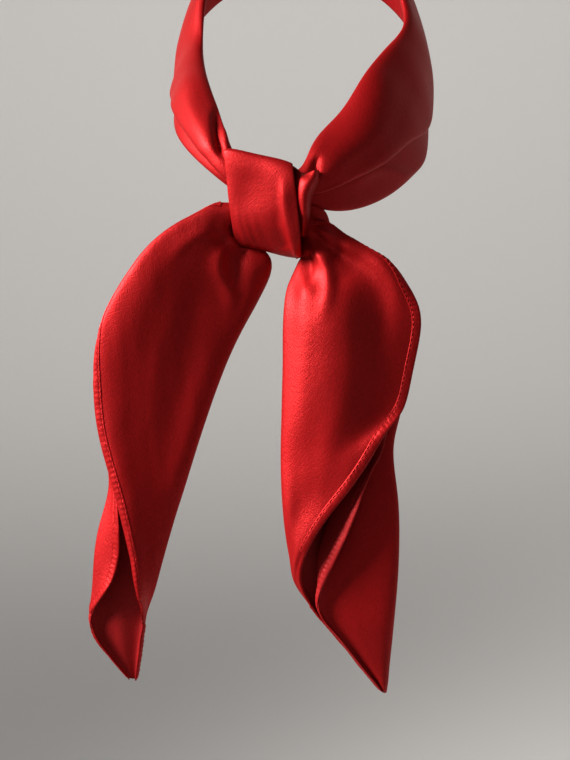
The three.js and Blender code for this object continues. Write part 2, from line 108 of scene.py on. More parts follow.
LEFT_ROWS = [
    (-24, -91, -58.5, -92, -92, -23, -87, -70, 2.8, -82, -24, -85, -60, 2, -23.5, -87.2, -64, 0, 0),
    (-32.5, -90, -56, -92, -92, -32.5, -86, -69, 3, -81, -32.5, -85, -58, 2, -33, -87.3, -62, 0.5, 0),
    (-38, -90.5, -55.5, -93, -93, -30.5, -87.5, -75.7, 3, -80, -36.5, -85, -58.5, 2.1, -37, -87.6, -63, 3.5, 1.5),
    (-43, -92, -57, -94.8, -92.4, -23.4, -87, -76.5, 2.4, -80, -41, -85.5, -61, 2, -40.5, -88.5, -66, 8, 3),
    (-49.1, -94, -59.9, -96.8, -94.2, -16.6, -88.5, -79.7, 2.4, -83, -46.9, -87, -64.6, 2, -43, -90.5, -69.8, 10, 4.5),
    (-63.7, -98, -67.5, -100.6, -97.1, -18.3, -90, -94.7, 2.8, -86, -61.5, -89, -73.4, 2, -56, -93, -78.6, 9, 5),
    (-78.6, -102, -83.3, -105, -101.1, -26.7, -93.5, -110, 2.8, -89, -76.6, -92, -88.9, 2, -69, -96, -93.2, 6, 5),
    (-91.6, -105, -105.5, -107.8, -104, -35, -96.5, -126.8, 2.8, -92, -90.2, -95, -110.6, 2, -82.5, -99, -112.9, 3, 3.5),
    (-96.1, -108, -134.5, -110.2, -106.8, -42.7, -100, -146.4, 2.7, -96, -94.8, -99, -139, 2, -87.5, -102.5, -139.7, 0, 0.6),
    (-93.5, -112, -160.8, -114.5, -111.2, -50.3, -104.5, -168.2, 2.6, -101, -93.4, -103, -164.3, 2, -88.1, -108, -163.4, 0, 0),
    (-88.5, -116, -179.6, -118, -114.6, -55.9, -108, -185.6, 2.4, -104, -91, -106, -184.3, 2, -86.8, -112.5, -183, 0, 0),
    (-83.9, -119, -198.5, -120.8, -117.5, -61.6, -111.2, -203.6, 2.2, -106.5, -95.8, -108, -203.4, 2, -85.7, -117, -199.7, 0, 0),
    (-79.8, -121, -218.9, -123, -120.2, -67.2, -115.5, -222.4, 2, -110, -99.1, -111, -223.3, 2, -87, -119.3, -219.9, 0, 0),
    (-77.6, -121.5, -232.8, -123, -121, -71.1, -117, -235.3, 1.9, -112.5, -100.1, -113.5, -236.5, 2, -93.1, -120.3, -232.9, 0, 0),
]
LEFT_END_COLUMNS = "fold_x fold_y fold_z fold_r back_y turn_x turn_y turn_z turn_r".split()
LEFT_END_ROWS = [
    (-74.7, -115.5, -246.3, 2.3, -114.2, -101.3, -115.2, -246.5, 1.8),
    (-76.2, -116, -255.9, 2.1, -115, -99.4, -116.6, -256.1, 1.6),
    (-77.8, -116.5, -266.6, 1.9, -115.6, -93.3, -117.3, -265.4, 1.4),
    (-79.3, -117, -275.6, 1.6, -115.9, -86.9, -117.3, -274.1, 1.1),
    (-80.2, -117, -279.4, 0.9, -116.4, -83.6, -117.3, -278.7, 0.8),
]
RIGHT_COLUMNS = ("hem_x hem_y hem_z crest_y mid_y roll_y left_x left_y left_z left_r back_y "
                 "fold_x fold_y fold_z fold_r inner_y turn_x turn_y turn_z turn_r "
                 "flap_x flap_y flap_z sag tuck").split()
RIGHT_ROWS = [
    (-13, -92, -60, -93, -93, -91.5, -13, -87, -73.5, 3.4, -81, -13, -83.5, -60, 1.7, -85.2, -13, -87, -65.5, 1.6, -13, -88.8, -62, 0, 0),
    (-4, -92, -60.8, -93, -93, -91.5, -4, -87, -73.2, 3.4, -81, -4, -83.5, -61, 1.7, -85.2, -4, -87, -66.5, 1.6, -4, -88.8, -63, 0, 0),
    (2.6, -92, -62, -95, -95, -93.2, -0.5, -88.5, -77, 3.2, -80.5, 2.4, -83.3, -62.5, 1.8, -85.2, 2.4, -87, -69, 1.7, 2.4, -89.2, -65, 2, 0),
    (8, -92.5, -63.2, -98, -98, -94.7, -2.6, -88.3, -82.6, 3.6, -80, 7.2, -83.5, -65.2, 2, -86, 5.5, -87.8, -73.5, 1.9, 6.8, -90.2, -68.5, 6, 1.5),
    (12.8, -93.5, -65.6, -97, -99.5, -99, -5.6, -91, -87.7, 2.6, -81.5, 11.4, -84, -69, 2.2, -87.2, 6.5, -89.2, -78, 2, 9.5, -91.8, -72.5, 8, 3.5),
    (20.7, -96, -70.8, -98.7, -103.7, -105, -8.4, -94, -93.2, 3, -82, 18.6, -85.5, -75, 2.2, -89, 8.5, -91.5, -84.5, 2, 14.5, -94.5, -78.8, 8, 4.5),
    (32.7, -99, -77, -102.2, -109, -107.5, -10, -98, -100.7, 3.4, -84.5, 30.4, -88, -81.9, 2.2, -92, 12, -94, -93.5, 2, 22.5, -97.5, -85.5, 6, 3.5),
    (43.5, -101, -87.1, -104.6, -112.8, -110.6, -10.7, -101, -112, 3.6, -87, 41.3, -91, -91.9, 2.2, -95, 15.5, -97, -105, 2, 31.5, -100.5, -96, 4, 1.2),
    (50.9, -103, -101.3, -106.6, -115, -112.6, -10.7, -104, -126.2, 3.6, -90.5, 48.2, -94, -105.7, 2.2, -98, 17.5, -100, -120, 2, 38, -103.5, -109.2, 1, 0),
    (51.3, -105, -114.7, -108.6, -117, -114.6, -11.1, -107, -140.4, 3.6, -94, 49.2, -97, -119.1, 2.2, -101, 18, -103, -134.8, 2, 39.9, -106.5, -122.8, 0, 0),
    (48.3, -108, -129.8, -111.2, -118.8, -116.4, -11.4, -110, -154.3, 3.6, -98, 47.1, -100, -134.9, 2.2, -104, 17.5, -106, -149.8, 2, 40, -109.5, -137, 0, 0),
    (44.3, -112, -145.6, -114.4, -120.4, -118.2, -11.6, -112.5, -168.8, 3.6, -101.5, 44, -103, -151.2, 2.2, -107, 16, -109, -164.9, 2, 37.5, -112.5, -152.5, 0, 0),
    (37, -118, -154, -120, -122.2, -120.2, -11.1, -115.5, -183.7, 3.4, -105.5, 40.8, -107, -166.4, 2.2, -111, 14, -112, -181, 2, 34.4, -117, -165.1, 0, 0),
    (27.1, -122, -169.8, -123.5, -124, -122, -10, -118, -196.9, 3.2, -109, 42.5, -111, -184.4, 2.2, -114.5, 11.1, -115, -193.9, 2, 29, -121, -174.6, 0, 0),
    (15.9, -125, -185.4, -126, -126.3, -124.5, -8.4, -119.5, -208.6, 3, -112, 43.8, -114, -201.5, 2.2, -117.3, 7.7, -117.5, -205.9, 2, 22.3, -124.5, -193, 0, 0),
    (5.2, -126, -201, -126.8, -126.2, -125, -6.8, -121, -217.5, 2.6, -115.5, 43.7, -117, -217.7, 2.2, -120, 5.2, -120, -215.5, 1.8, 15.7, -125.6, -209.4, 0, 0),
    (-2.2, -125, -219.6, -125.2, -125, -124.5, -5.1, -121, -226, 2.3, -117.5, 43, -119, -231.9, 2.2, -122, 5.8, -123.2, -226, 1.7, 10.4, -125.3, -221.8, 0, 0),
]
RIGHT_END_COLUMNS = ("left_x left_y left_z left_r back_y fold_x fold_y fold_z fold_r inner_y "
                     "turn_x turn_y turn_z turn_r").split()
RIGHT_END_ROWS = [
    (0.9, -121.5, -235.6, 2.0, -119.4, 41.8, -121, -246.2, 2.4, -124, 5.4, -123.8, -237.2, 1.4),
    (13.5, -122, -252.4, 1.5, -120.4, 40.6, -122, -260.1, 2.2, -124.4, 15.0, -123.8, -252.9, 1.1),
    (25.4, -122, -268.4, 1.2, -121.0, 39.6, -122.5, -271.3, 2.0, -124.4, 26.4, -123.8, -268.6, 1.0),
    (32.8, -122, -277.9, 1.0, -121.4, 39.0, -122.8, -279.4, 1.6, -124.2, 33.6, -123.7, -278.0, 0.9),
    (36.3, -122.2, -282.2, 0.8, -121.8, 38.5, -122.8, -282.8, 0.9, -123.8, 36.7, -123.5, -282.2, 0.7),
]
KNOT = np.array([-18.2, -88.0, -56.4])
WALL = 0.42                                    # cloth with its crimp, mm
PLY_PITCH = 1.35
BAND_CROWN = 2.4
# how far the cloth rolls forward, mm, and where across it is fullest, row by row
BAND_ROLL = {2: (1.0, 0.45), 3: (2.4, 0.45), 4: (3.0, 0.45), 5: (2.6, 0.42), 6: (1.5, 0.40),
             14: (1.0, 0.40), 15: (4.0, 0.42), 16: (8.0, 0.42), 17: (9.5, 0.42), 18: (7.0, 0.40), 19: (2.4, 0.40)}


# ---- curves and grids ------------------------------------------------------------------
def unit(v):
    v = np.asarray(v, float)
    return v / np.maximum(np.linalg.norm(v, axis=-1, keepdims=True), 1e-12)


def catmull(pts, per=40):
    """A centripetal Catmull-Rom curve, per samples to each span."""
    P = np.asarray(pts, float)
    E = np.vstack([2 * P[0] - P[1], P, 2 * P[-1] - P[-2]])
    s = np.arange(per)[:, None] / per
    out = []
    for i in range(len(P) - 1):
        p0, p1, p2, p3 = E[i:i + 4]
        d0, d1, d2 = (max(np.linalg.norm(b - a) ** 0.5, 1e-3)
                      for a, b in ((p0, p1), (p1, p2), (p2, p3)))
        t1 = ((p1 - p0) / d0 - (p2 - p0) / (d0 + d1) + (p2 - p1) / d1) * d1
        t2 = ((p2 - p1) / d1 - (p3 - p1) / (d1 + d2) + (p3 - p2) / d2) * d1
        out.append(p1 + t1 * s + (3 * p2 - 3 * p1 - 2 * t1 - t2) * s ** 2
                   + (2 * p1 - 2 * p2 + t1 + t2) * s ** 3)
    out.append(P[-1:])
    return np.vstack(out)


def spread(pts, folds, spans, pull=1.2, per=40):
    """Points on the curve through pts, with the folds at fixed columns."""
    C = catmull(pts, per)
    stops = [0, *[f * per for f in folds], len(C) - 1]
    out = [C[0]]
    for s, count in enumerate(spans):
        F = C[stops[s]:stops[s + 1] + 1]
        step = np.diff(F, axis=0)
        length = np.linalg.norm(step, axis=1)
        turn = np.zeros(len(length))
        cosine = np.sum(unit(step[1:]) * unit(step[:-1]), axis=1)
        turn[:-1] = np.arccos(np.clip(cosine, -1, 1))
        total = np.concatenate([[0], np.cumsum(length + pull * turn)])
        want = total[-1] * np.arange(1, count + 1) / count
        out.extend(np.stack([np.interp(want, total, F[:, k]) for k in range(3)], 1))
    return np.array(out)


def spline_matrix(t, s, closed=False):
    """The matrix that takes values at knots t to a cubic spline's values at s."""
    t = np.asarray(t, float)
    n = len(t) - 1 if closed else len(t)
    h = np.diff(t)
    A, B = np.zeros((n, n)), np.zeros((n, n))
    for i in range(n):
        if not closed and i in (0, n - 1):
            A[i, i] = 1
            continue
        a, b = h[(i - 1) % len(h)], h[i % len(h)]
        A[i, (i - 1) % n] += a
        A[i, i] += 2 * (a + b)
        A[i, (i + 1) % n] += b
        B[i, (i - 1) % n] += 6 / a
        B[i, i] -= 6 / a + 6 / b
        B[i, (i + 1) % n] += 6 / b
    M = np.linalg.solve(A, B)
    rows = np.zeros((len(s), n))
    for k, x in enumerate(s):
        i = min(len(h) - 1, max(0, int(np.searchsorted(t, x, side="right")) - 1))
        j = (i + 1) % n
        a = (t[i + 1] - x) / h[i]
        b = 1 - a
        rows[k, i] += a
        rows[k, j] += b
        rows[k] += ((a ** 3 - a) * M[i] + (b ** 3 - b) * M[j]) * h[i] ** 2 / 6
    return rows


def loft(sections, count, closed=False):
    """Rows of points -> count rows on smooth curves, evenly spaced along the cloth."""
    S = np.asarray(sections, float)
    ring = np.concatenate([S, S[:1]]) if closed else S
    gaps = np.linalg.norm(np.diff(ring, axis=0), axis=2).mean(axis=1)
    t = np.concatenate([[0], np.cumsum(gaps)])
    s = np.linspace(0, t[-1], count, endpoint=not closed)
    return np.einsum("mi,ijk->mjk", spline_matrix(t, s, closed), S)


def neighbours(G, axis, closed):
    a, b = np.roll(G, -1, axis), np.roll(G, 1, axis)
    if not closed:
        first, last = [slice(None)] * 3, [slice(None)] * 3
        first[axis], last[axis] = 0, -1
        b[tuple(first)] = G[tuple(first)]
        a[tuple(last)] = G[tuple(last)]
    return a, b


def normals(G, closed_u=False, closed_v=False):
    a, b = neighbours(G, 0, closed_u)
    c, d = neighbours(G, 1, closed_v)
    return unit(np.cross(a - b, c - d))


def soften(G, passes, closed_u=False, closed_v=False, keep_edges=True):
    for _ in range(passes):
        a, b = neighbours(G, 0, closed_u)
        N = G + 0.25 * (a + b - 2 * G)
        c, d = neighbours(N, 1, closed_v)
        N = N + 0.25 * (c + d - 2 * N)
        if keep_edges:
            if not closed_u:
                N[0], N[-1] = G[0], G[-1]
            if not closed_v:
                N[:, 0], N[:, -1] = G[:, 0], G[:, -1]
        G = N
    return G


def smoothstep(x):
    x = np.clip(x, 0, 1)
    return x * x * (3 - 2 * x)


def ripple(P, seed, size, count=14):
    """Smooth, repeatable unevenness: sines of about the given wavelength, mean square about 1."""
    rng = np.random.default_rng(seed)
    out = np.zeros(P.shape[:-1])
    for _ in range(count):
        k = unit(rng.normal(size=3)) * 2 * math.pi / size * rng.uniform(0.6, 1.5)
        out += np.sin(P @ k + rng.uniform(0, 2 * math.pi))
    return out / math.sqrt(count / 2)


def ridge(Q, line, up, wide_a, wide_b=None, fade=(0.18, 0.18)):
    """How high a crease stands at picture points Q: line in picture points, up in mm,
    wide_a and wide_b its half widths in picture points to the left and right of travel."""
    wide_b = wide_a if wide_b is None else wide_b
    L = np.asarray(line, float)
    flat = np.hstack([L, np.zeros((len(L), 1))])
    L = catmull(flat, 8)[:, :2]
    seg = np.diff(L, axis=0)
    length = np.linalg.norm(seg, axis=1)
    start = np.concatenate([[0], np.cumsum(length)])
    best = np.full(Q.shape[:-1], 1e9)
    side, along = np.zeros(Q.shape[:-1]), np.zeros(Q.shape[:-1])
    for i, (p, d, l) in enumerate(zip(L[:-1], seg, length)):
        r = Q - p
        t = np.clip((r @ d) / (l * l), 0, 1)
        gap = r - t[..., None] * d
        dist = np.hypot(gap[..., 0], gap[..., 1])
        new = dist < best
        best = np.where(new, dist, best)
        cross = d[0] * r[..., 1] - d[1] * r[..., 0]
        side = np.where(new, np.sign(cross), side)
        along = np.where(new, start[i] + t * l, along)
    along = along / start[-1]
    wide = np.where(side < 0, wide_a, wide_b)
    ends = smoothstep(along / max(fade[0], 1e-6)) * smoothstep((1 - along) / max(fade[1], 1e-6))
    return up * ends * np.exp(-0.5 * (best / wide) ** 2)


# ---- sections of the cloth --------------------------------------------------------------
def rows_of(*tables):
    return [dict(zip(columns, row)) for columns, rows in tables for row in rows]


def point(r, name):
    return np.array([r[name + "_x"], r[name + "_y"], r[name + "_z"]], float)


def flat_unit(v):
    v = np.array([v[0], 0.0, v[2]])
    return v / max(np.linalg.norm(v), 1e-9)


def fold_points(apex, radius, towards, first):
    inward = flat_unit(towards - apex)
    near = [apex + inward * radius + np.array([0, s * radius, 0]) for s in (first, -first)]
    return [near[0], apex, near[1]]


def in_layer(a, b, t, y, sag=0.0):
    line = flat_unit(b - a)
    out = np.array([line[2], 0.0, -line[0]])
    if out @ ((a + b) / 2 - KNOT) < 0:
        out = -out
    p = a + (b - a) * t + out * sag * 4 * t * (1 - t)
    p[1] = y
    return p


def curl(apex, radius, towards):
    return apex + flat_unit(towards - apex) * 0.5 * radius + np.array([0, -0.85 * radius, 0])


def tucked(hem, fold, r):
    """The hem, and where the cloth rolls behind before it, the roll as well."""
    tuck = r.get("tuck", 0.0)
    if tuck < 0.5:
        return [hem]
    behind = hem + flat_unit(fold - hem) * 0.7 * tuck + np.array([0, tuck, 0])
    return [behind, hem]


def left_sections(spans):
    out = []
    for r in rows_of((LEFT_COLUMNS, LEFT_ROWS), (LEFT_END_COLUMNS, LEFT_END_ROWS)):
        fold, turn = point(r, "fold"), point(r, "turn")
        ends = "hem_x" not in r
        hem = curl(fold, r["fold_r"], turn) if ends else point(r, "hem")
        flap = curl(turn, r["turn_r"], fold) if ends else point(r, "flap")
        sag = r.get("sag", 0.0)
        front = np.linalg.norm(hem - fold)
        path = tucked(hem, fold, r)
        if front > 3 * r["fold_r"]:
            path.append(in_layer(hem, fold, 0.15, r["crest_y"], sag))
        if front > 4.5 * r["fold_r"]:
            path.append(in_layer(hem, fold, 0.55, r["mid_y"], sag))
        around = fold_points(fold, r["fold_r"], in_layer(hem, fold, 0.8, 0, sag)
                             if front > 3 * r["fold_r"] else turn, -1)
        path += around[0 if front > 1.8 * r["fold_r"] else 1:]
        folds = [len(path) - 2]
        path.append(in_layer(fold, turn, 0.5, r["back_y"], sag))
        around = fold_points(turn, r["turn_r"], in_layer(fold, turn, 0.8, 0, sag), 1)
        folds.append(len(path) + 1)
        path += around[:3 if np.linalg.norm(flap - turn) > 1.8 * r["turn_r"] else 2]
        path.append(flap)
        out.append(spread(path, folds, spans))
    return np.array(out)


def right_sections(spans):
    out = []
    for r in rows_of((RIGHT_COLUMNS, RIGHT_ROWS), (RIGHT_END_COLUMNS, RIGHT_END_ROWS)):
        left, fold, turn = point(r, "left"), point(r, "fold"), point(r, "turn")
        ends = "hem_x" not in r
        hem = curl(left, r["left_r"], fold) if ends else point(r, "hem")
        flap = curl(turn, r["turn_r"], fold) if ends else point(r, "flap")
        sag = r.get("sag", 0.0)
        front = np.linalg.norm(hem - left)
        path = tucked(hem, left, r)
        if front > 3 * r["left_r"]:
            path.append(in_layer(hem, left, 0.22, r["crest_y"], sag))
        if front > 4.5 * r["left_r"]:
            path.append(in_layer(hem, left, 0.58, r["mid_y"], sag))
        if front > 7 * r["left_r"]:
            path.append(in_layer(hem, left, 0.83, r["roll_y"], sag))
        around = fold_points(left, r["left_r"], in_layer(hem, left, 0.8, 0, sag)
                             if front > 3 * r["left_r"] else fold, -1)
        path += around[0 if front > 1.8 * r["left_r"] else 1:]
        folds = [len(path) - 2]
        path.append(in_layer(left, fold, 0.5, r["back_y"], sag))
        path += fold_points(fold, r["fold_r"], in_layer(left, fold, 0.8, 0, sag), 1)
        folds.append(len(path) - 2)
        path.append(in_layer(fold, turn, 0.5, r["inner_y"], 0.6 * sag))
        around = fold_points(turn, r["turn_r"], in_layer(fold, turn, 0.8, 0, 0.6 * sag), 1)
        folds.append(len(path) + 1)
        path += around[:3 if np.linalg.norm(flap - turn) > 1.8 * r["turn_r"] else 2]
        path.append(flap)
        out.append(spread(path, folds, spans))
    return np.array(out)


def band_sections(spans):
    R = np.array(BAND_ROWS, float)
    upper, lower = R[:, 0:3], R[:, 3:6]
    centre = (upper + lower) / 2
    out = []
    for i in range(len(R)):
        along = centre[(i + 1) % len(R)] - centre[i - 1]
        across = lower[i] - upper[i]
        width = np.linalg.norm(across)
        outward = unit(np.cross(along, across))
        g, f = PLY_PITCH, R[i, 6]
        e = 0.5 * g / width
        roll, peak = BAND_ROLL.get(i, (0.0, 0.3))
        forward = unit(0.35 * outward + np.array([0.0, -1.0, 0.0]))

        def at(w, d):
            bulge = roll * (math.sin(min(w / peak, 1.0) * math.pi / 2) if w < peak
                            else smoothstep((1.02 - w) / (1.02 - peak)))
            return (upper[i] + across * w + outward * (d + BAND_CROWN * 4 * w * (1 - w)) + forward * bulge)
        out.append(spread([
            at(0.55 * f, 0.4 * g), at(f - e, 0.1 * g), at(f, 1.1 * g),
            at(f - e, 2.0 * g), at(0.62 * f, 1.6 * g + 0.4), at(0.30, 1.6 * g), at(0.13, 1.5 * g), at(2.6 * e, 1.3 * g),
            at(0, 0), at(2.6 * e, -1.3 * g), at(0.13, -1.5 * g), at(0.30, -1.5 * g), at(0.6, -1.5 * g),
            at(1 - e, -1.5 * g), at(1, -1.0 * g), at(1 - e, -0.5 * g), at(0.55, -0.5 * g),
        ], [2, 8, 14], spans))
    return np.array(out)


# ---- meshes --------------------------------------------------------------------------
def mesh_object(name, verts, quads, slots, material_of, uv=None, smooth=True):
    mesh = bpy.data.meshes.new(name)
    verts = np.asarray(verts, float) / 1000.0
    quads = np.asarray(quads, int)
    mesh.from_pydata(verts.tolist(), [], quads.tolist())
    for m in slots:
        mesh.materials.append(m)
    mesh.polygons.foreach_set("material_index", np.asarray(material_of, int))
    mesh.polygons.foreach_set("use_smooth", np.full(len(quads), smooth))
    if uv is not None:
        layer = mesh.uv_layers.new(name="cloth")
        layer.data.foreach_set("uv", np.asarray(uv, float)[quads.ravel()].ravel())
    mesh.update()
    obj = bpy.data.objects.new(name, mesh)
    bpy.context.scene.collection.objects.link(obj)
    return obj


def volume_of(verts, quads):
    a, b, c, d = (verts[quads[:, k]] for k in range(4))
    return float(np.sum(np.cross(a, b) * c) + np.sum(np.cross(a, c) * d))


def cloth_object(name, G, wall, slots, closed_u=False, closed_v=False):
    """A grid of points in mm, given its wall; slots are the materials of the two sides."""
    nu, nv = G.shape[:2]
    N = normals(G, closed_u, closed_v)
    taper = np.ones((nu, nv, 1))
    verts = np.vstack([(G + side * wall * taper * N).reshape(-1, 3) for side in (0.5, -0.5)])
    du = np.linalg.norm(np.diff(G, axis=0), axis=2).mean(axis=1)
    dv = np.linalg.norm(np.diff(G, axis=1), axis=2)
    v_len = np.concatenate([np.zeros((nu, 1)), np.cumsum(dv, axis=1)], axis=1)
    v_len = v_len - v_len[:, nv // 2:nv // 2 + 1]
    u_len = np.concatenate([[0], np.cumsum(du)])[:, None] + 0 * v_len
    uv = np.stack([v_len, u_len], -1).reshape(-1, 2) / 1000.0
    uv = np.vstack([uv, uv])
    i = np.arange(nu if closed_u else nu - 1)[:, None]
    j = np.arange(nv if closed_v else nv - 1)[None, :]
    idx = lambda s, a, b: (s * nu * nv + (a % nu) * nv + (b % nv))
    front = np.stack([idx(0, i, j), idx(0, i + 1, j), idx(0, i + 1, j + 1), idx(0, i, j + 1)], -1).reshape(-1, 4)
    back = np.stack([idx(1, i, j), idx(1, i, j + 1), idx(1, i + 1, j + 1), idx(1, i + 1, j)], -1).reshape(-1, 4)
    rim = []
    if not closed_v:
        k = i.ravel()
        rim.append(np.stack([idx(0, k, 0), idx(1, k, 0), idx(1, k + 1, 0), idx(0, k + 1, 0)], -1))
        rim.append(np.stack([idx(0, k, nv - 1), idx(0, k + 1, nv - 1), idx(1, k + 1, nv - 1), idx(1, k, nv - 1)], -1))
    if not closed_u:
        k = j.ravel()
        rim.append(np.stack([idx(0, 0, k), idx(0, 0, k + 1), idx(1, 0, k + 1), idx(1, 0, k)], -1))
        rim.append(np.stack([idx(0, nu - 1, k), idx(1, nu - 1, k), idx(1, nu - 1, k + 1), idx(0, nu - 1, k + 1)], -1))
    quads = np.vstack([front, back, *rim])
    kind = np.concatenate([np.zeros(len(front)), np.ones(len(back)), *[np.zeros(len(r)) for r in rim]])
    if volume_of(verts, quads) < 0:
        quads = quads[:, ::-1]
    return mesh_object(name, verts, quads, slots, kind, uv)


# ---- hems -----------------------------------------------------------------------------
HEM_WIDTH = 4.2
STITCH_AT = 3.4
STITCH_PITCH = 2.5


def surface_tree(G, first, last):
    """The cloth between two columns as something to snap points to."""
    S = G[:, first:last + 1]
    n, m = S.shape[:2]
    i, j = np.arange(n - 1)[:, None], np.arange(m - 1)[None, :]
    quads = np.stack([i * m + j, (i + 1) * m + j, (i + 1) * m + j + 1, i * m + j + 1], -1).reshape(-1, 4)
    return BVHTree.FromPolygons(S.reshape(-1, 3).tolist(), quads.tolist())


def march(tree, start, inward, distances):
    """Points at the given distances in from a hem, over the cloth, with its normals."""
    P, B = start.copy(), inward.copy()
    places, directions = [], []
    for h in [*np.diff(distances), 0.0]:
        hits = [tree.find_nearest(Vector(q)) for q in P]
        N = np.array([list(hit[1]) for hit in hits])
        if places:
            P = np.array([list(hit[0]) for hit in hits])
        if directions:
            N = N * np.sign(np.sum(N * directions[-1], axis=1) + 1e-9)[:, None]
        places.append(P)
        directions.append(N)
        B = unit(B - N * np.sum(B * N, axis=1)[:, None])
        P = P + B * h
    return np.array(places), np.array(directions)


def along_smooth(A, passes):
    for _ in range(passes):
        A[:, 1:-1] = (A[:, 2:] + A[:, :-2] + 2 * A[:, 1:-1]) / 4
    return A


def hem_pieces(name, G, edge, layer, first, last, slots, thread, seed):
    """A double-turned hem along one side edge of G, with its stitching on both sides;
    layer is the column where the hem's own layer ends."""
    nu, nv = G.shape[:2]
    line = G[first:last, 0 if edge == 0 else nv - 1]
    step = np.linalg.norm(np.diff(line, axis=0), axis=1)
    s = np.concatenate([[0], np.cumsum(step)])
    fine = np.arange(0, s[-1], 0.5)
    P0 = np.stack([np.interp(fine, s, line[:, k]) for k in range(3)], 1)
    P0 = along_smooth(P0[None], 4)[0]
    kernel = np.ones(9) / 9
    T = np.gradient(P0, axis=0)
    T = unit(np.stack([np.convolve(np.pad(T[:, k], 4, mode="edge"), kernel, "valid") for k in range(3)], 1))
    # which way is in: towards the cloth within a few millimetres, square to the hem
    lo, hi = (0, layer) if edge == 0 else (layer, nv - 1)
    near = G[:, lo:hi + 1].reshape(-1, 3)
    a, b = neighbours(G, 0, False)
    c, d = neighbours(G, 1, False)
    weight = np.linalg.norm(np.cross(a - b, c - d), axis=-1)[:, lo:hi + 1].ravel()
    kd = KDTree(len(near))
    for k, q in enumerate(near):
        kd.insert(q, k)
    kd.balance()
    inward = []
    for q in P0:
        ids = [hit[1] for hit in kd.find_range(q, 5.5)]
        inward.append((near[ids] * weight[ids, None]).sum(0) / weight[ids].sum() - q)
    inward = np.array(inward)
    inward = unit(inward - T * np.sum(inward * T, axis=1)[:, None])
    inward = unit(along_smooth(inward[None].copy(), 30)[0])
    steps = 18
    tree = surface_tree(G, lo, hi)
    w = HEM_WIDTH * (np.arange(steps + 1) / steps) ** 0.8
    P, N = march(tree, P0, inward, w)
    P = along_smooth(P, 6)
    N = unit(along_smooth(N, 10))
    rng = np.random.default_rng(seed)
    wander = np.cumsum(rng.normal(size=len(fine))) * 0.05
    wander -= np.linspace(0, wander[-1], len(fine))
    uneven = 0.5 + 0.5 * np.sin(fine / 9.0 + rng.uniform(0, 6)) * np.sin(fine / 23.0 + 1)
    phase = 2 * math.pi * (fine / STITCH_PITCH) + wander
    long_phase = 2 * math.pi * fine / 7.3 + 2.0 * wander
    body = np.interp(w, [0, 0.3, 0.9, 2.2, 2.9, STITCH_AT, 3.75, 3.95, HEM_WIDTH],
                     [0.16, 0.32, 0.42, 0.42, 0.36, 0.14, 0.36, 0.34, 0.02])
    pucker = np.interp(w, [0, 1.0, 2.2, STITCH_AT, HEM_WIDTH], [0.25, 0.6, 1.0, 1.0, 0.1])
    lift = np.interp(w, [0, 1.5, 3.0, HEM_WIDTH], [0.5, 0.6, 0.5, 0.0])
    wave = (np.sin(phase[None, :] + 0.55 * w[:, None]) * (0.35 + 0.65 * uneven)[None, :]
            + 0.5 * np.sin(long_phase[None, :] + 0.9 * w[:, None]))
    side = []
    for sign in (1, -1):
        height = WALL / 2 * 0.9 + body[:, None] + 0.085 * pucker[:, None] * wave * sign
        height = height + 0.10 * lift[:, None] * np.sin(long_phase * 0.5)[None, :] * sign
        side.append(P + N * (sign * height)[..., None])
    cap = [P[0] - inward * 0.10 + N[0] * 0.24, P[0] - inward * 0.20 + 0 * N[0], P[0] - inward * 0.10 - N[0] * 0.24]
    ring = np.concatenate([side[0][::-1], np.array(cap), side[1]], axis=0)      # section x length
    ring = np.transpose(ring, (1, 0, 2))
    n, m = ring.shape[:2]
    verts = ring.reshape(-1, 3)
    i = np.arange(n - 1)[:, None]
    j = np.arange(m)[None, :]
    idx = lambda a, b: a * m + (b % m)
    quads = np.stack([idx(i, j), idx(i + 1, j), idx(i + 1, j + 1), idx(i, j + 1)], -1).reshape(-1, 4)
    kind = np.tile((np.arange(m) > steps + 1).astype(int), n - 1)
    around = np.concatenate([w[::-1], [0, 0, 0], w])
    uv = np.stack([np.tile(around, n), np.repeat(fine, m)], 1) / 1000.0
    if volume_of(verts, quads) < 0:
        quads = quads[:, ::-1]
    hem = mesh_object(name, verts, quads, slots, kind, uv)
    # stitches: short capsules lying in the valley on both sides
    sv, sq = [], []
    at = np.interp(STITCH_AT, w, np.arange(steps + 1))
    k0 = int(at)
    f = at - k0
    centre = P[k0] * (1 - f) + P[k0 + 1] * f
    normal = unit(N[k0] * (1 - f) + N[k0 + 1] * f)
    tang = unit(np.gradient(centre, axis=0))
    cross = unit(np.cross(normal, tang))
    count = int(fine[-1] // STITCH_PITCH)
    ringn = 6
    profile = [(-0.95, 0.05), (-0.85, 0.6), (-0.55, 0.95), (0, 1.0), (0.55, 0.95), (0.85, 0.6), (0.95, 0.05)]
    for c in range(count):
        q = (c + 0.5) * STITCH_PITCH / 0.5
        a = int(q)
        if a < 3 or a >= len(fine) - 3:
            continue
        for sign, sd in ((1, side[0]), (-1, side[1])):
            base = sd[k0][a] * (1 - f) + sd[k0 + 1][a] * f
            nrm, tg, cr = normal[a] * sign, tang[a], cross[a]
            tg = unit(tg + 0.16 * cr)
            start = len(sv)
            for x, r in profile:
                for b in range(ringn):
                    ang = 2 * math.pi * b / ringn
                    sv.append(base + nrm * 0.05 + tg * x * 0.9
                              + cr * 0.19 * r * math.cos(ang) + nrm * 0.15 * r * math.sin(ang)
                              - nrm * 0.14 * (abs(x) ** 3))
            for p in range(len(profile) - 1):
                for b in range(ringn):
                    sq.append((start + p * ringn + b, start + p * ringn + (b + 1) % ringn,
                               start + (p + 1) * ringn + (b + 1) % ringn, start + (p + 1) * ringn + b))
    stitches = mesh_object(name + "_stitches", np.array(sv), np.array(sq), [thread], np.zeros(len(sq)))
    return hem, stitches


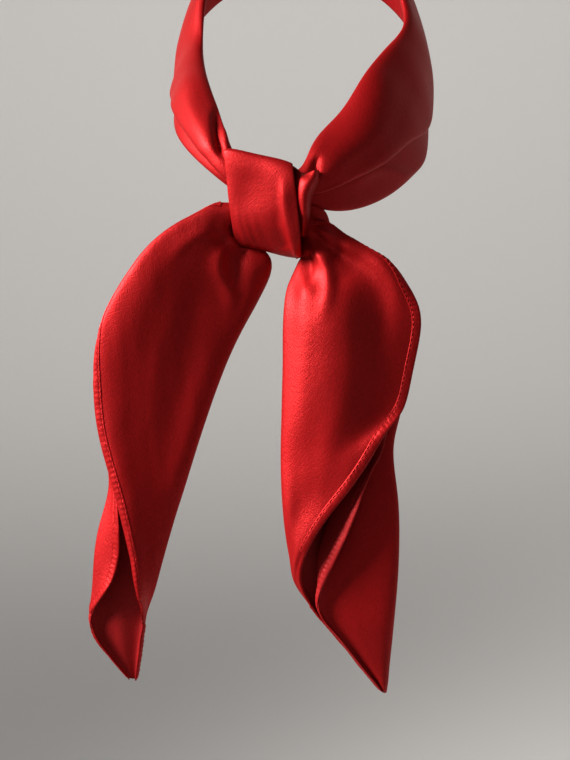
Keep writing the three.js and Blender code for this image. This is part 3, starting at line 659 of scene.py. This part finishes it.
# ---- materials ---------------------------------------------------------------------------
def node(tree, kind, at=(0, 0), **values):
    n = tree.nodes.new(kind)
    n.location = at
    for key, value in values.items():
        setattr(n, key, value)
    return n


def satin(name, light, deep, roughness, metallic, grain=1.0, sheen=0.1):
    """Silk satin: warp floats and slubs on the bias, fine grain, soft colour unevenness."""
    m = bpy.data.materials.new(name)
    m.use_nodes = True
    t = m.node_tree
    t.nodes.clear()
    out = node(t, "ShaderNodeOutputMaterial", (900, 0))
    b = node(t, "ShaderNodeBsdfPrincipled", (600, 0))
    t.links.new(b.outputs[0], out.inputs[0])
    b.inputs["Metallic"].default_value = metallic
    b.inputs["IOR"].default_value = 1.45
    b.inputs["Specular IOR Level"].default_value = 0.35
    b.inputs["Specular Tint"].default_value = (1.0, 0.62, 0.60, 1.0)
    b.inputs["Sheen Weight"].default_value = sheen
    b.inputs["Sheen Roughness"].default_value = 0.4
    b.inputs["Sheen Tint"].default_value = (1.0, 0.25, 0.22, 1.0)
    uv = node(t, "ShaderNodeUVMap", (-1500, 0), uv_map="cloth")
    coord = node(t, "ShaderNodeTexCoord", (-1500, -400))
    turned = node(t, "ShaderNodeMapping", (-1300, 0))
    turned.inputs["Rotation"].default_value = (0, 0, math.radians(45))
    t.links.new(uv.outputs[0], turned.inputs[0])
    warp = node(t, "ShaderNodeMapping", (-1100, 100))
    warp.inputs["Scale"].default_value = (2200, 260, 1)
    weft = node(t, "ShaderNodeMapping", (-1100, -200))
    weft.inputs["Scale"].default_value = (340, 1700, 1)
    noises = []
    for k, mapping in enumerate((warp, weft)):
        t.links.new(turned.outputs[0], mapping.inputs[0])
        n = node(t, "ShaderNodeTexNoise", (-900, 100 - 300 * k))
        n.inputs["Scale"].default_value = 1.0
        n.inputs["Detail"].default_value = 2.0
        n.inputs["Roughness"].default_value = 0.6
        t.links.new(mapping.outputs[0], n.inputs["Vector"])
        noises.append(n)
    threads = node(t, "ShaderNodeMath", (-700, 0), operation="ADD")
    t.links.new(noises[0].outputs[0], threads.inputs[0])
    t.links.new(noises[1].outputs[0], threads.inputs[1])
    speck = node(t, "ShaderNodeTexNoise", (-900, -500))
    speck.inputs["Scale"].default_value = 1250.0
    speck.inputs["Detail"].default_value = 3.0
    speck.inputs["Roughness"].default_value = 0.65
    t.links.new(coord.outputs["Object"], speck.inputs["Vector"])
    grainy = node(t, "ShaderNodeMath", (-500, -100), operation="ADD")
    t.links.new(threads.outputs[0], grainy.inputs[0])
    t.links.new(speck.outputs[0], grainy.inputs[1])
    cloudy = node(t, "ShaderNodeTexNoise", (-900, -800))
    cloudy.inputs["Scale"].default_value = 22.0
    cloudy.inputs["Detail"].default_value = 2.0
    t.links.new(coord.outputs["Object"], cloudy.inputs["Vector"])
    # colour: grain in 0..3 about 1.5, clouds about 0.5
    amount = node(t, "ShaderNodeMapRange", (-300, 100))
    amount.inputs["From Min"].default_value = 1.5 - 0.5
    amount.inputs["From Max"].default_value = 1.5 + 0.5
    t.links.new(grainy.outputs[0], amount.inputs["Value"])
    colour = node(t, "ShaderNodeMix", (0, 200), data_type="RGBA")
    colour.inputs[6].default_value = (*deep, 1)
    colour.inputs[7].default_value = (*light, 1)
    t.links.new(amount.outputs[0], colour.inputs[0])
    tint = node(t, "ShaderNodeHueSaturation", (200, 200))
    shade = node(t, "ShaderNodeMapRange", (0, -100))
    shade.inputs["From Min"].default_value = 0.3
    shade.inputs["From Max"].default_value = 0.7
    shade.inputs["To Min"].default_value = 0.90
    shade.inputs["To Max"].default_value = 1.08
    t.links.new(cloudy.outputs[0], shade.inputs["Value"])
    t.links.new(shade.outputs[0], tint.inputs["Value"])
    t.links.new(colour.outputs[2], tint.inputs["Color"])
    t.links.new(tint.outputs[0], b.inputs["Base Color"])
    rough = node(t, "ShaderNodeMapRange", (0, -350))
    rough.inputs["From Min"].default_value = 1.5 - 0.8
    rough.inputs["From Max"].default_value = 1.5 + 0.8
    rough.inputs["To Min"].default_value = roughness + 0.07
    rough.inputs["To Max"].default_value = roughness - 0.07
    t.links.new(grainy.outputs[0], rough.inputs["Value"])
    t.links.new(rough.outputs[0], b.inputs["Roughness"])
    bump = node(t, "ShaderNodeBump", (300, -400))
    bump.inputs["Strength"].default_value = 0.32 * grain
    bump.inputs["Distance"].default_value = 0.0002
    t.links.new(grainy.outputs[0], bump.inputs["Height"])
    t.links.new(bump.outputs[0], b.inputs["Normal"])
    return m


FACE = satin("silk_satin_face", (0.37, 0.006, 0.007), (0.23, 0.003, 0.004), 0.46, 0.55, grain=1.7, sheen=0.0)
WRONG = satin("silk_wrong_side", (0.33, 0.007, 0.009), (0.22, 0.004, 0.005), 0.56, 0.30, grain=1.7, sheen=0.0)
THREAD = satin("red_thread", (0.55, 0.02, 0.02), (0.40, 0.010, 0.011), 0.42, 0.4, grain=0.5, sheen=0.0)


# ---- tails ------------------------------------------------------------------------------
def shape_layer(G, columns, creases, towards=-1.0, seed=1, uneven=0.5, size=30.0):
    """Creases and soft unevenness on the layer between two columns; towards is the
    sign of Y that its seen side faces."""
    a, b = columns
    N = normals(G)
    flip = np.sign(towards * N[:, (a + b) // 2, 1])
    N = N * flip[:, None, None]
    Q = picture(G)
    mask = np.zeros(G.shape[:2])
    j = np.arange(G.shape[1])
    mask[:] = smoothstep((j - a + 3) / 6.0) * smoothstep((b + 3 - j) / 6.0)
    lift = np.zeros(G.shape[:2])
    for c in creases:
        lift += ridge(Q, *c)
    lift += uneven * ripple(G * np.array([1.0, 0.3, 0.45]), seed, size)
    # fine waves in the cloth, longer along it than across it
    lift += 0.05 * ripple(G * np.array([1.0, 0.3, 0.35]), seed + 50, 9.0, 24)
    return G + N * (lift * mask)[..., None]


LEFT_SPANS = (60, 62, 30)
RIGHT_SPANS = (50, 52, 36, 26)

left = loft(left_sections(LEFT_SPANS), 230)
left = soften(left, 3)
LEFT_CREASES = [
    # line in the picture, height mm, half widths left and right of the line's run
    ([(226, 229), (214, 233), (202, 236), (190, 242), (178, 254), (170, 272)], 0.9, 1.6, 6, (0.05, 0.5)),
    ([(237, 240), (226, 248), (219.5, 259), (220.5, 272), (227, 284), (232.5, 298), (231, 322)], 2.0, 2.6, 5.5, (0.05, 0.4)),
    ([(247, 247), (236, 262), (235, 276), (241, 290)], -1.5, 5, 5, (0.1, 0.4)),
    ([(262, 258), (252, 272), (247, 300), (240, 330)], 0.8, 5, 5, (0.2, 0.4)),
    ([(190, 262), (168, 320), (152, 400), (147, 480)], 0.5, 9, 7, (0.3, 0.3)),
    ([(203, 262), (190, 330), (178, 400), (166, 470)], -0.5, 8, 8, (0.3, 0.3)),
    ([(214, 320), (203, 380), (188, 440), (172, 520)], 0.5, 8, 8, (0.3, 0.3)),
]
left = shape_layer(left, (0, LEFT_SPANS[0]), LEFT_CREASES, seed=3, uneven=0.22, size=40)
left = shape_layer(left, (LEFT_SPANS[0] + 4, sum(LEFT_SPANS[:2]) - 4), [], towards=1.0, seed=5, uneven=0.5, size=34)
left = soften(left, 2)

right = loft(right_sections(RIGHT_SPANS), 235)
right = soften(right, 3)
RIGHT_CREASES = [
    ([(304, 240), (312, 247), (321, 257), (327, 272), (328.5, 290), (325, 308), (320, 330)], 2.3, 4.2, 4.6, (0.02, 0.5)),
    ([(306, 252), (309, 262), (309, 276), (308, 290)], -2.0, 3.6, 3.6, (0.1, 0.5)),
    ([(305, 251), (300, 262), (297, 276), (296, 292)], 0.9, 3, 3, (0.1, 0.5)),
    ([(311, 231), (328, 244), (344, 255), (358, 262)], -2.2, 2.6, 5, (0.1, 0.4)),
    ([(314, 229), (332, 238), (352, 250), (373, 262), (389, 275), (397, 290), (400, 312)], 1.6, 3.0, 2.6, (0.05, 0.4)),
    ([(352, 256), (366, 264), (376, 276), (382, 292)], 0.7, 2.0, 2.0, (0.3, 0.5)),
    ([(345, 248), (366, 268), (378, 295), (380, 330), (372, 375)], -2.4, 8, 20, (0.15, 0.4)),
    ([(308, 330), (302, 380), (300, 430), (296, 470)], 0.6, 9, 9, (0.3, 0.3)),
]
right = shape_layer(right, (0, RIGHT_SPANS[0]), RIGHT_CREASES, seed=11, uneven=0.22, size=40)
right = soften(right, 2)

tail_left = cloth_object("tail_left_cloth", left, WALL, [FACE, WRONG])
tail_right = cloth_object("tail_right_cloth", right, WALL, [WRONG, FACE])

hems = []
for tag, G, edge, layer, slots, seed in (
        ("tail_left_hem_front", left, 0, LEFT_SPANS[0], [FACE, WRONG], 21),
        ("tail_left_hem_flap", left, 1, sum(LEFT_SPANS[:2]), [FACE, WRONG], 22),
        ("tail_right_hem_front", right, 0, RIGHT_SPANS[0], [WRONG, FACE], 23),
        ("tail_right_hem_flap", right, 1, sum(RIGHT_SPANS[:3]), [WRONG, FACE], 24)):
    hems.append(hem_pieces(tag, G, edge, layer, 14, len(G) - 1, slots, THREAD, seed))

# ---- neck band ---------------------------------------------------------------------------
BAND_SPANS = (16, 44, 50, 20)
band = loft(band_sections(BAND_SPANS), 370, closed=True)
band = soften(band, 3, closed_u=True)
Q = picture(band)
NB = -normals(band, closed_u=True)
outer = np.zeros(band.shape[:2])
jj = np.arange(band.shape[1])
outer[:] = smoothstep((jj - BAND_SPANS[0]) / 5.0) * smoothstep((sum(BAND_SPANS[:2]) + 2 - jj) / 6.0)
lift = np.zeros(band.shape[:2])
front_side = smoothstep((40 - band[..., 1]) / 20.0)
for c in [
    ([(221, 122), (224, 136), (226, 148), (229, 158)], 1.6, 1.8, 2.4, (0.3, 0.05)),
    ([(214, 106), (216, 122), (218, 140), (223, 158)], -3.6, 4.5, 3.0, (0.35, 0.2)),
    ([(190, 30), (189, 90), (199, 130), (213, 158)], 1.2, 9, 7, (0.2, 0.1)),
    ([(317, 156), (316.5, 166), (318, 180)], -2.2, 1.8, 3, (0.2, 0.35)),
    ([(322, 172), (337, 152), (358, 124), (378, 90), (390, 55)], 1.0, 12, 12, (0.1, 0.2)),
    ([(324, 196), (352, 172), (392, 128), (416, 70)], -0.8, 8, 8, (0.1, 0.3)),
]:
    lift += ridge(Q, *c)
under = smoothstep((jj - sum(BAND_SPANS[:3])) / 4.0) * np.ones(band.shape[:2])
beneath = ridge(Q, [(345, 190), (376, 170), (404, 176), (418, 186)], 1.0, 4, 4, (0.3, 0.2))
lift = lift * front_side + 0.28 * ripple(band, 31, 42)
band = band + NB * (lift * outer + beneath * under)[..., None]
band = soften(band, 2, closed_u=True)
neck_band = cloth_object("neck_band_cloth", band, WALL, [WRONG, FACE], closed_u=True)

# ---- wrap of the knot ------------------------------------------------------------------------
WRAP_WIDTH, WRAP_HEIGHT, WRAP_DEPTH, WRAP_THICK = 31.0, 43.4, 31.5, 1.9
WRAP_LEAN, WRAP_DROP, WRAP_TURN = math.radians(6.0), 6.0, 0.32


def wrap_ring(A, U, tuck):
    """A closed strap round the knot: A round the loop, U across it, tuck its edges' pull in."""
    c, d = np.cos(A), np.sin(A)
    power = np.where(c > 0, 4.2, 2.25)
    r = (np.abs(c) ** power + np.abs(d) ** power) ** (-1.0 / power)
    fall = np.where(c > 0, 0.44 * np.clip((0.72 - d * r) / 1.72, 0, 1) ** 0.85, 0.0)
    up = WRAP_HEIGHT / 2 * tuck * c * r * (1 - fall) * np.where(c > 0, 1.09, 1.0)
    depth = WRAP_DEPTH / 2 * tuck + np.where(d > 0, WRAP_TURN * WRAP_WIDTH / 2 * U - 4.0, 0.0)
    front = depth * d * r * np.where((c < 0) & (d > 0), 1 - 0.20 * smoothstep((-c * r - 0.35) / 0.65), 1.0)
    side = WRAP_WIDTH / 2 * U * (1 + 0.05 * d) * np.where(U > 0, 0.91, 1.0)
    return np.stack([KNOT[0] + side - up * math.sin(WRAP_LEAN), KNOT[1] - front,
                     KNOT[2] + up * math.cos(WRAP_LEAN) - WRAP_DROP / 2 * U], -1)


def wrap_grid(rings=260, around=112):
    # angles that give rings evenly spaced along the strap
    fine = np.linspace(0, 2 * math.pi, 4001)
    L = wrap_ring(fine, 0 * fine, 1.0)
    length = np.concatenate([[0], np.cumsum(np.linalg.norm(np.diff(L, axis=0), axis=1))])
    a = np.interp(length[-1] * np.arange(rings) / rings, length, fine)
    # across the strap: a flat oval, u -1..1 and t the side of the wall
    q = 2 * math.pi * (np.arange(around) + 0.5) / around
    u = np.sign(np.cos(q)) * np.abs(np.cos(q)) ** 0.75
    t = np.sign(np.sin(q)) * np.abs(np.sin(q)) ** 0.35
    A, U = np.meshgrid(a, u, indexing="ij")
    T = np.meshgrid(a, t, indexing="ij")[1]
    close = 1 - np.where(U > 0, 0.012, 0.035) * np.abs(U) ** 8 - 0.012 * U * U
    ring = wrap_ring

    G = ring(A, U, close)
    e = 1e-3
    along = ring(A + e, U, close) - ring(A - e, U, close)
    across = ring(A, U + e, close) - ring(A, U - e, close)
    out = unit(np.cross(along, across))
    middle = np.array([KNOT[0], KNOT[1], KNOT[2]])
    if np.sum(out[:, around // 4] * (G[:, around // 4] - middle)) < 0:
        out = -out
    return G + out * (T * WRAP_THICK / 2)[..., None], out, A, U, T


wrap, wrap_out, WA, WU, WT = wrap_grid()
QW = picture(wrap)
lift = np.zeros(wrap.shape[:2])
facing = smoothstep((-86 - wrap[..., 1]) / 6.0) * (WT > 0)
for c in [
    ([(283, 172), (284, 196), (287, 222), (293, 242), (299, 256)], 1.5, 5.5, 2.6, (0.3, 0.05)),
    ([(275, 204), (278, 226), (286, 250)], -0.7, 4, 3, (0.4, 0.1)),
    ([(248, 165), (245, 190), (250, 215)], -0.5, 9, 9, (0.4, 0.4)),
    ([(236, 204), (239, 222), (247, 246)], 0.35, 2, 1.6, (0.4, 0.05)),
    ([(243, 208), (247, 228), (256, 249)], 0.35, 2, 1.6, (0.4, 0.05)),
    ([(251, 206), (256, 228), (265, 251)], 0.40, 2.2, 1.8, (0.4, 0.05)),
    ([(261, 204), (266, 228), (275, 253)], 0.35, 2.2, 1.8, (0.4, 0.05)),
]:
    lift += ridge(QW, *c)
lift = lift * facing + 0.18 * ripple(wrap, 41, 26) * (WT > 0)
wrap = wrap + wrap_out * lift[..., None]
wrap = soften(wrap, 1, closed_u=True, closed_v=True)


def closed_surface(name, G, slots):
    nu, nv = G.shape[:2]
    i, j = np.arange(nu)[:, None], np.arange(nv)[None, :]
    idx = lambda a, b: (a % nu) * nv + (b % nv)
    quads = np.stack([idx(i, j), idx(i + 1, j), idx(i + 1, j + 1), idx(i, j + 1)], -1).reshape(-1, 4)
    verts = G.reshape(-1, 3)
    if volume_of(verts, quads) < 0:
        quads = quads[:, ::-1]
    dv = np.linalg.norm(np.diff(G, axis=1, append=G[:, :1]), axis=2)
    du = np.linalg.norm(np.diff(G, axis=0, append=G[:1]), axis=2).mean(axis=1)
    v = np.cumsum(dv, axis=1)
    u = np.cumsum(du)[:, None] + 0 * v
    uv = np.stack([v, u], -1).reshape(-1, 2) / 1000.0
    return mesh_object(name, verts, quads, slots, np.zeros(len(quads)), uv)


knot_wrap = closed_surface("knot_wrap_cloth", wrap, [FACE])

# the plies gathered inside the wrap, and two small folds that show right of it
def core_grid(rings=60, around=120):
    x = np.linspace(-1, 1, rings)
    q = 2 * math.pi * np.arange(around) / around
    X, A = np.meshgrid(x, q, indexing="ij")
    ends = np.sqrt(np.clip(1 - np.abs(X) ** 7, 0, 1))
    pleat = 0.9 * np.sin(9 * A + 1.3 * X) + 0.7 * np.sin(14 * A - 2.1 * X + 1) + 0.4 * np.sin(5 * A + 2 * X)
    up = (18.2 + 0.55 * pleat * (0.4 + 0.6 * np.abs(X))) * ends * np.cos(A)
    front = (9.6 + 0.55 * pleat * (0.4 + 0.6 * np.abs(X))) * ends * np.sin(A)
    up = np.where((up > 0) & (front < 8), up * (1 - 0.40 * np.clip((8 - front) / 20, 0, 1)), up)
    return np.stack([KNOT[0] + 15.3 * X - up * math.sin(WRAP_LEAN), KNOT[1] - front - 0.25 * 14.0 * X * (front > 0),
                     KNOT[2] + up - WRAP_DROP / 2 * X], -1)


core = core_grid()
core_verts = np.vstack([core.reshape(-1, 3), core[0].mean(0)[None], core[-1].mean(0)[None]])
nr, na = core.shape[:2]
i, j = np.arange(nr - 1)[:, None], np.arange(na)[None, :]
core_quads = np.stack([i * na + j, (i + 1) * na + j, (i + 1) * na + (j + 1) % na, i * na + (j + 1) % na], -1).reshape(-1, 4)
knot_core = mesh_object("knot_core_cloth", core.reshape(-1, 3), core_quads, [WRONG], np.zeros(len(core_quads)),
                        np.stack([core[..., 0], core[..., 2]], -1).reshape(-1, 2) / 1000.0)


def patch(name, rows, slots, across=(40,), down=60):
    """A small fold of cloth through rows of points given by picture place and depth."""
    sections = [spread([place(px, py, y) for px, py, y in row], [], across) for row in rows]
    G = soften(loft(sections, down), 2)
    return cloth_object(name, G, WALL, slots)


fold_beside = patch("knot_fold_beside", [
    [(288, 166, -90), (293, 166, -94), (298, 169.5, -97), (303, 174.5, -99), (309, 172.5, -101), (315, 170, -102.5), (318, 170, -97), (319, 172, -88)],
    [(288, 176, -91), (294, 177, -97), (299, 178, -101.5), (305, 179, -104), (311, 180, -105), (315.5, 180, -103), (317.5, 181, -97), (318.5, 182, -88)],
    [(289, 190, -92), (294, 190, -99), (298.5, 190, -104), (303.5, 191, -106), (308, 192, -105.5), (311, 192, -101.5), (313, 192, -95), (313.5, 193, -88)],
    [(290, 206, -93), (295, 206, -99), (299, 206, -103.5), (303.5, 207, -105.5), (307, 208, -104.5), (309, 208, -100), (310, 208, -95), (310.5, 208, -88)],
    [(292, 222, -93), (296, 222, -97), (299.5, 222, -100.5), (303, 223, -102), (305.5, 224, -101), (307.5, 224, -97.5), (308.8, 224, -93), (309, 224, -87)],
    [(294, 236, -92), (297, 236, -93.5), (300, 236, -95), (302.5, 236, -95.5), (304, 236.5, -95), (305.5, 237, -93), (306, 237, -90), (306.5, 237, -87)],
], [FACE, WRONG])
fold_under = patch("knot_fold_under", [
    [(292, 204, -86), (300, 204, -88), (307, 204, -89), (313, 204.3, -87.5)],
    [(293, 212, -86), (304, 210, -89), (315, 207.5, -89), (323, 209.5, -86.5)],
    [(294, 222, -87), (306, 219, -90), (318, 216, -90), (328.5, 219, -87)],
    [(295, 234, -88), (307, 231, -92), (320, 228, -93), (331.5, 230, -90)],
    [(297, 246, -89), (310, 242, -94), (324, 240, -95.5), (337, 238, -93)],
    [(296, 259, -88), (306, 256, -91), (316, 254, -92), (326, 252, -90.5)],
], [FACE, WRONG])

# ---- floor, light -------------------------------------------------------------------------
def backdrop():
    """A pale floor that curves up all round, far enough out for a camera on any side."""
    z0, r0, r = -0.78, 2.2, 1.2
    profile = [(0.0, z0), (0.7, z0), (1.5, z0), (r0, z0)]
    profile += [(r0 + r * math.sin(t), z0 + r - r * math.cos(t)) for t in np.linspace(0.05, math.pi / 2, 20)]
    profile.append((r0 + r, 4.0))
    turns = 64
    verts, faces = [(0.0, 0.0, z0)], []
    for d, z in profile[1:]:
        for k in range(turns):
            verts.append((d * math.cos(2 * math.pi * k / turns), d * math.sin(2 * math.pi * k / turns), z))
    for k in range(turns):
        faces.append((0, 1 + k, 1 + (k + 1) % turns))
    for n in range(len(profile) - 2):
        for k in range(turns):
            a, b = 1 + n * turns, 1 + (n + 1) * turns
            faces.append((a + k, b + k, b + (k + 1) % turns, a + (k + 1) % turns))
    mesh = bpy.data.meshes.new("backdrop")
    mesh.from_pydata(verts, [], faces)
    mesh.polygons.foreach_set("use_smooth", np.full(len(faces), True))
    m = bpy.data.materials.new("backdrop")
    m.use_nodes = True
    p = m.node_tree.nodes["Principled BSDF"]
    p.inputs["Base Color"].default_value = (0.74, 0.72, 0.70, 1)
    p.inputs["Roughness"].default_value = 0.9
    p.inputs["Emission Color"].default_value = (1.0, 0.985, 0.97, 1)
    p.inputs["Emission Strength"].default_value = 0.09
    mesh.materials.append(m)
    obj = bpy.data.objects.new("backdrop", mesh)
    bpy.context.scene.collection.objects.link(obj)


backdrop()


def area_light(name, at, target, size, power, colour=(1, 1, 1), spread=180.0):
    data = bpy.data.lights.new(name, "AREA")
    data.shape = "RECTANGLE"
    data.size, data.size_y = size
    data.energy = power
    data.color = colour
    data.spread = math.radians(spread)
    obj = bpy.data.objects.new(name, data)
    obj.location = at
    direction = Vector(target) - Vector(at)
    obj.rotation_euler = direction.to_track_quat("-Z", "Y").to_euler()
    bpy.context.scene.collection.objects.link(obj)


area_light("key", (-1.06, -0.34, 0.45), (-0.03, -0.10, -0.11), (0.42, 0.60), 8.0, (1.0, 0.98, 0.96), 60.0)
area_light("behind", (0.0, 0.7, 1.6), (0.0, 3.4, -0.1), (2.6, 0.5), 15.0, (1.0, 0.99, 0.97), 110.0)
world = bpy.data.worlds.new("world")
bpy.context.scene.world = world
world.use_nodes = True
world.node_tree.nodes["Background"].inputs[0].default_value = (0.95, 0.97, 1.0, 1)
world.node_tree.nodes["Background"].inputs[1].default_value = 0.05
bpy.context.scene.view_settings.view_transform = "Standard"

# ---- the frame ------------------------------------------------------------------------------
for piece, cad in ((neck_band, "neck_band"), (knot_wrap, "knot_wrap"),
                   (tail_left, "tail_left"), (tail_right, "tail_right")):
    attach(piece, "root")
    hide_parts(cad)
for piece in (knot_core, fold_beside, fold_under):
    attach(piece, "root")
for hem, stitches in hems:
    for piece in (hem, stitches):
        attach(piece, "root")
